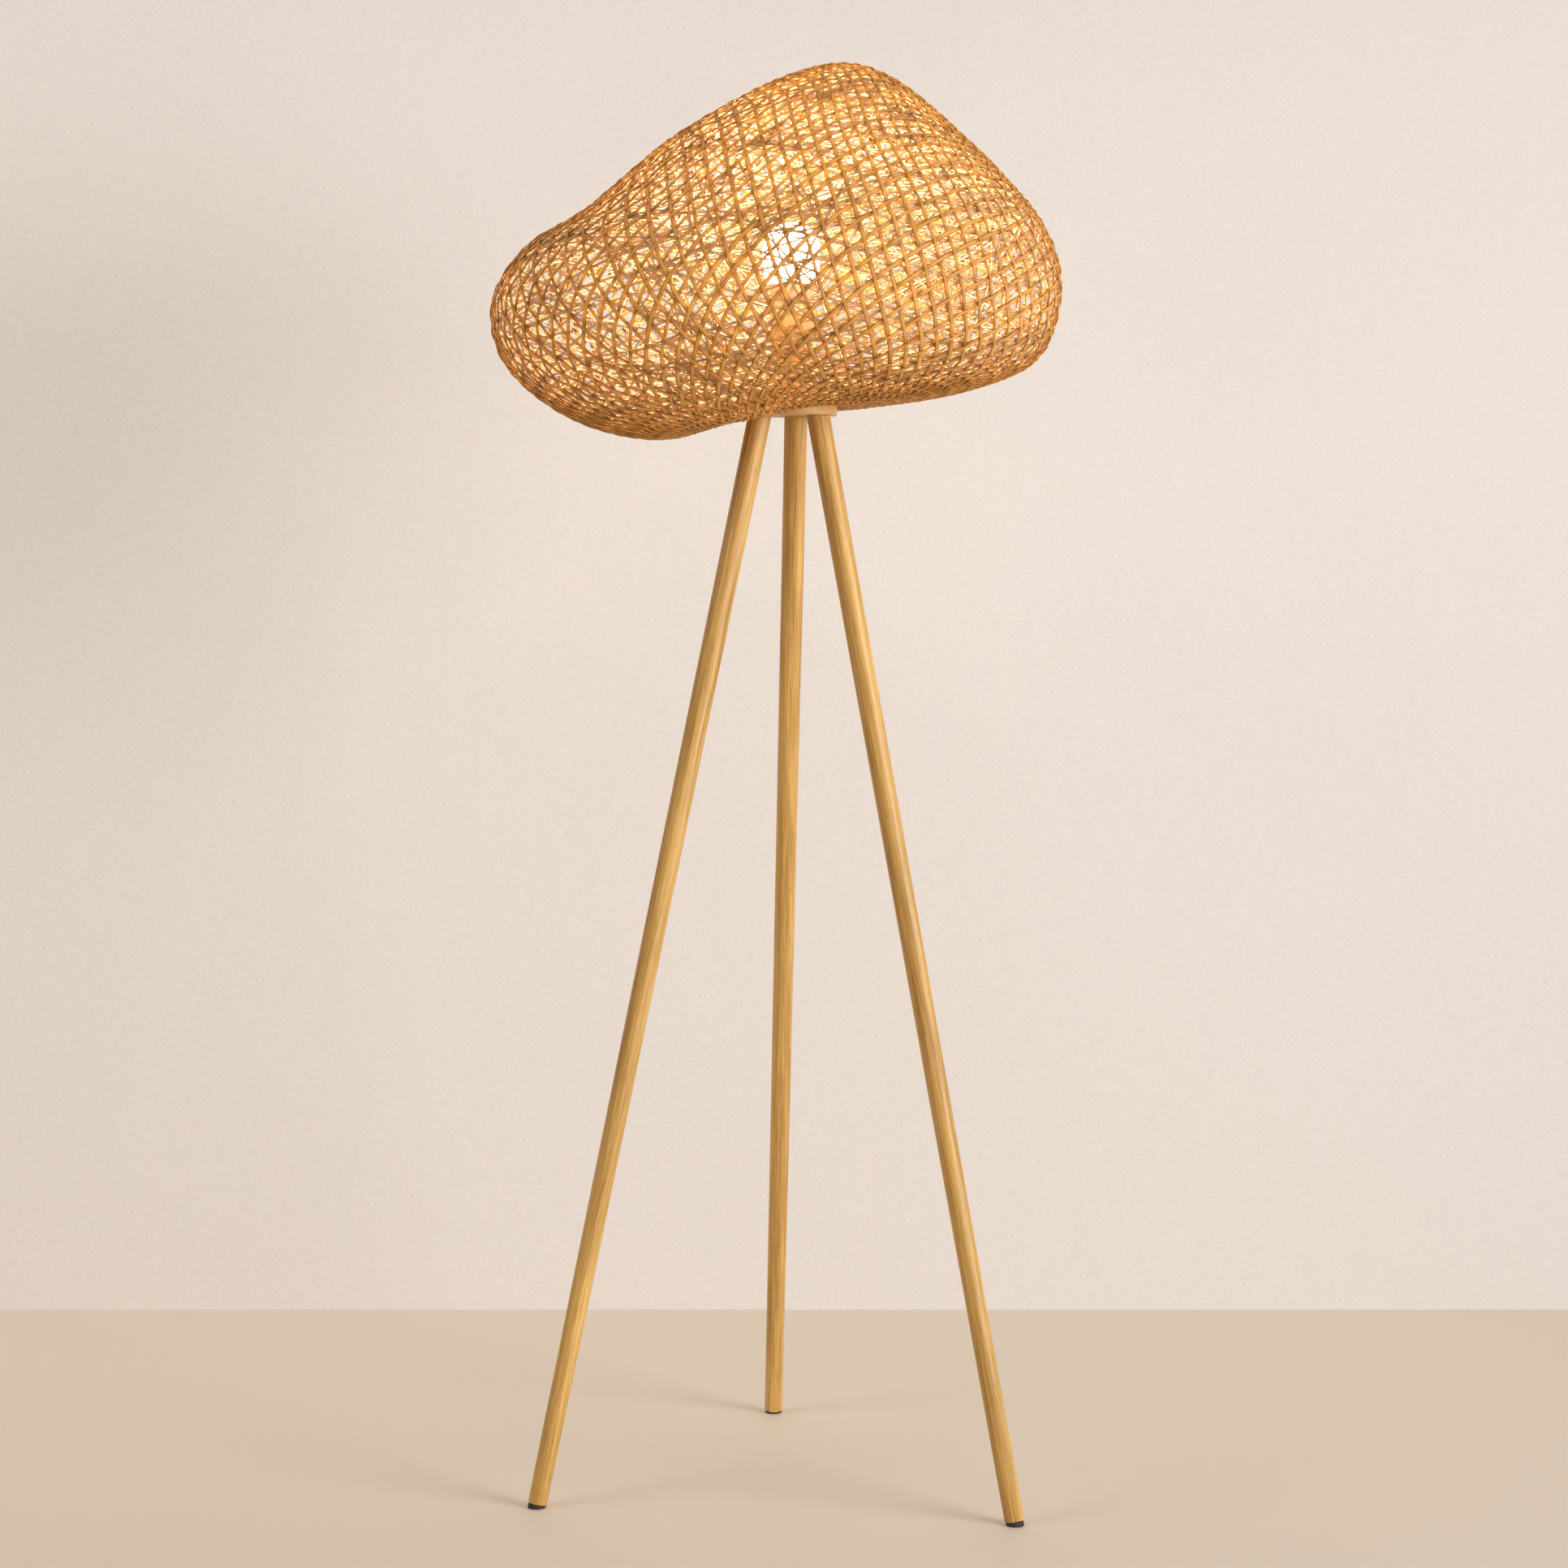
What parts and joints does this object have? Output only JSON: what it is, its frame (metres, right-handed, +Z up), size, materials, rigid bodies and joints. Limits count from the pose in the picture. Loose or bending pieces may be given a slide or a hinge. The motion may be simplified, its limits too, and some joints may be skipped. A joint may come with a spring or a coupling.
{
  "type": "floor lamp",
  "caption": "Floor lamp with a free-form two-layer rattan shade that lifts off a wooden tripod with tapered round legs.",
  "frame": {"origin": "middle of the lamp's outer box, on the floor", "axes": "+Z up, +X to the lamp's right seen from the front, +Y to its back"},
  "size_m": [0.5922, 0.5262, 1.499],
  "materials": {
    "leg_wood": "clear satin over ash, fine grain along the leg",
    "pad": "matt",
    "steel": "zinc plated",
    "brass": "plain",
    "holder_plastic": "satin, sand coloured",
    "bush_plastic": "matt",
    "ceramic": "glazed",
    "opal": "opal, lit from inside",
    "bulb_plastic": "white",
    "cap_metal": "nickel plated",
    "board": "white solder mask",
    "rattan_outer": "flat split rattan, clear satin",
    "rattan_inner": "fine split rattan, matt",
    "rattan_hoop": "round rattan core, bound"
  },
  "bodies": {
    "stand": {"hub": "leg_wood", "leg_left": "leg_wood", "leg_right": "leg_wood", "leg_rear": "leg_wood", "foot_pad_left": "pad", "foot_pad_right": "pad", "foot_pad_rear": "pad", "leg_stud_left": "steel", "leg_stud_right": "steel", "leg_stud_rear": "steel", "hub_bush_left": "brass", "hub_bush_right": "brass", "hub_bush_rear": "brass", "stem_tube": "steel", "stem_nut": "steel", "stem_washer": "steel", "stem_sleeve": "holder_plastic", "holder_lock_nut": "steel", "cord_outlet_bush": "bush_plastic", "holder_cap": "holder_plastic", "holder_body": "holder_plastic", "ceramic_insert": "ceramic", "terminal_screw_left": "brass", "terminal_screw_right": "brass", "screw_shell": "brass", "centre_contact": "brass"},
    "bulb": {"bulb_dome": "opal", "bulb_housing": "bulb_plastic", "bulb_screw_cap": "cap_metal", "bulb_tip_contact": "brass", "led_board": "board"},
    "shade": {"shade_outer_weave": "rattan_outer", "shade_inner_gore_1": "rattan_inner", "shade_inner_gore_2": "rattan_inner", "shade_inner_gore_3": "rattan_inner", "shade_inner_gore_4": "rattan_inner", "shade_inner_gore_5": "rattan_inner", "shade_inner_gore_6": "rattan_inner", "shade_inner_gore_7": "rattan_inner", "shade_inner_gore_8": "rattan_inner", "mouth_hoop": "rattan_hoop", "shade_gallery": "steel", "gallery_screw_1": "brass", "gallery_screw_2": "brass", "gallery_screw_3": "brass"}
  },
  "joints": [
    {"name": "shade_lift", "type": "slide", "parent": "stand", "child": "shade", "axis": [0, 0, 1], "range_m": [0, 0.2]},
    {"name": "bulb_unscrew", "type": "slide", "parent": "stand", "child": "bulb", "axis": [0, 0, 1], "range_m": [0, 0.024]}
  ]
}
